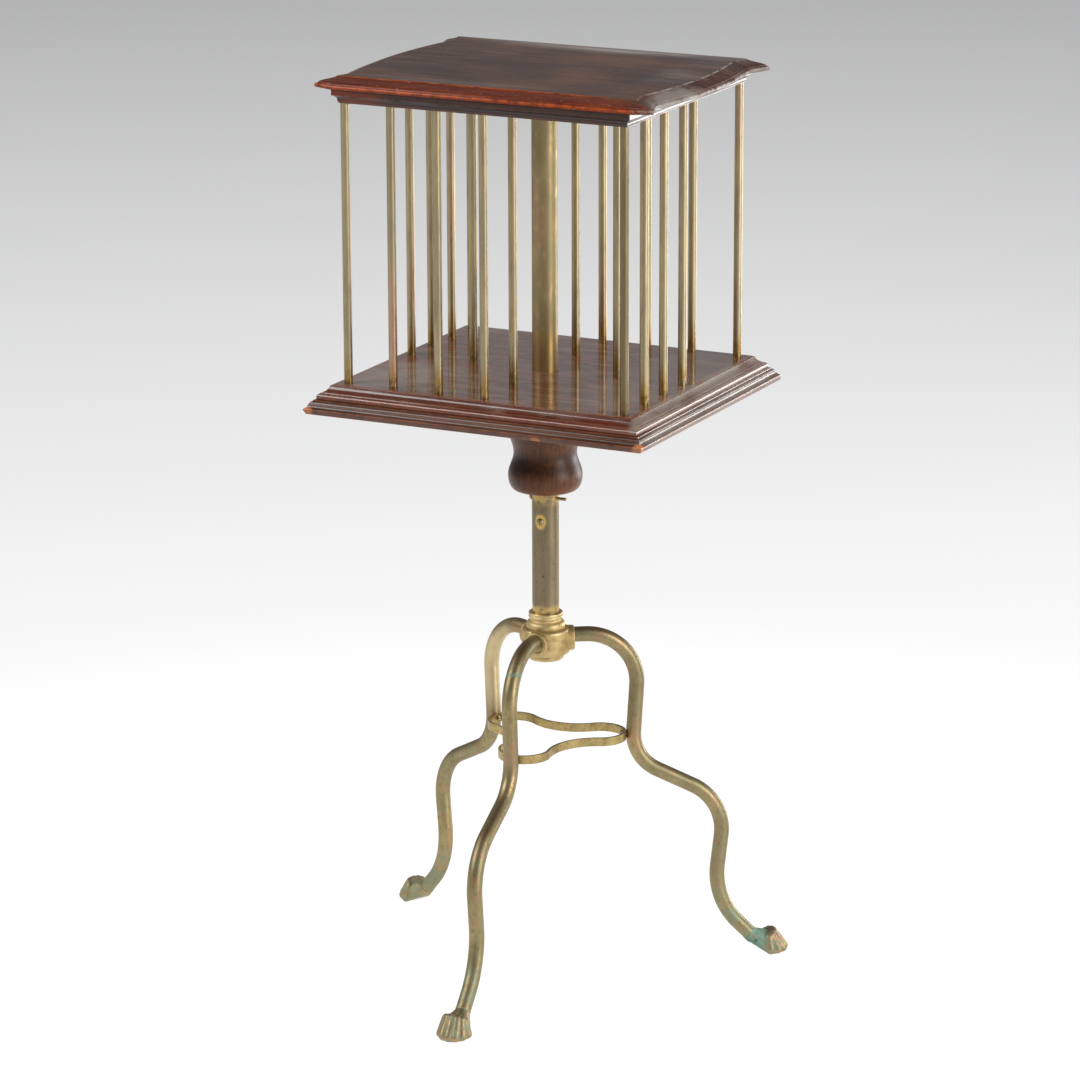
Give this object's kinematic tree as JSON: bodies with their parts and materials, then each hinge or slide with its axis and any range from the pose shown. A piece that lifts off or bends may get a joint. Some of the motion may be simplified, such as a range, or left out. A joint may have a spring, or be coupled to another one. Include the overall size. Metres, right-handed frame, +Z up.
{
  "type": "revolving_bookstand",
  "caption": "Revolving bookstand: mahogany shelf and moulded top joined by brass rods, turning on a brass column over a three-legged brass stand with paw feet",
  "frame": {"origin": "on the floor, on the axis that the carousel turns about", "axes": "+Z up, +X to the right along the front row of rods, -Y towards the front of the shelf"},
  "size_m": [0.4113, 0.3917, 0.8687],
  "materials": {
    "top_mahogany": "aged french polish, semi-gloss",
    "frieze_mahogany": "aged french polish, semi-gloss",
    "board_mahogany": "aged french polish, glossy",
    "moulding_mahogany": "aged french polish with worn arrises",
    "boss_mahogany": "turned, french polished, glossy",
    "rod_brass": "drawn brass, old lacquer, tarnished",
    "column_brass": "drawn brass tube, mottled tarnish",
    "stem_brass": "drawn brass tube, grey tarnish with rubbed patches",
    "hub_brass": "cast and turned brass, rubbed bright on the edges",
    "leg_brass": "bent brass bar, olive tarnish",
    "strip_brass": "bent brass strip, light tarnish",
    "foot_brass": "cast brass, copper tarnish and verdigris",
    "screw_brass": "turned brass, worn slots",
    "bearing_brass": "machined brass",
    "bright_steel": "turned steel"
  },
  "bodies": {
    "stand": {"hub": "hub_brass", "hub_cap": "hub_brass", "stem_tube": "stem_brass", "stem_plug": "bearing_brass", "spindle": "bright_steel", "cross_pin": "screw_brass", "stem_set_screw": "screw_brass", "thrust_washer": "bearing_brass", "leg_front": "leg_brass", "leg_right": "leg_brass", "leg_left": "leg_brass", "foot_front": "foot_brass", "foot_right": "foot_brass", "foot_left": "foot_brass", "foot_pins": "screw_brass", "leg_grub_screws": "bright_steel", "stretcher": "strip_brass", "stretcher_screws": "screw_brass"},
    "carousel": {"turned_boss": "boss_mahogany", "lower_bush": "bearing_brass", "upper_bush": "bearing_brass", "column_tube": "column_brass", "shelf_base_board": "moulding_mahogany", "shelf_board": "board_mahogany", "frieze_board": "frieze_mahogany", "top_board": "top_mahogany", "shelf_screws": "bright_steel", "top_screws": "bright_steel", "rod_front_1": "rod_brass", "rod_front_2": "rod_brass", "rod_front_3": "rod_brass", "rod_front_4": "rod_brass", "rod_right_1": "rod_brass", "rod_right_2": "rod_brass", "rod_right_3": "rod_brass", "rod_right_4": "rod_brass", "rod_back_1": "rod_brass", "rod_back_2": "rod_brass", "rod_back_3": "rod_brass", "rod_back_4": "rod_brass", "rod_left_1": "rod_brass", "rod_left_2": "rod_brass", "rod_left_3": "rod_brass", "rod_left_4": "rod_brass", "rod_inner_front": "rod_brass", "rod_inner_right": "rod_brass", "rod_inner_back": "rod_brass", "rod_inner_left": "rod_brass"}
  },
  "joints": [
    {"name": "carousel_spin", "type": "hinge", "parent": "stand", "child": "carousel", "pos_m": [0, 0, 0.7], "axis": [0, 0, 1], "continuous": true}
  ]
}
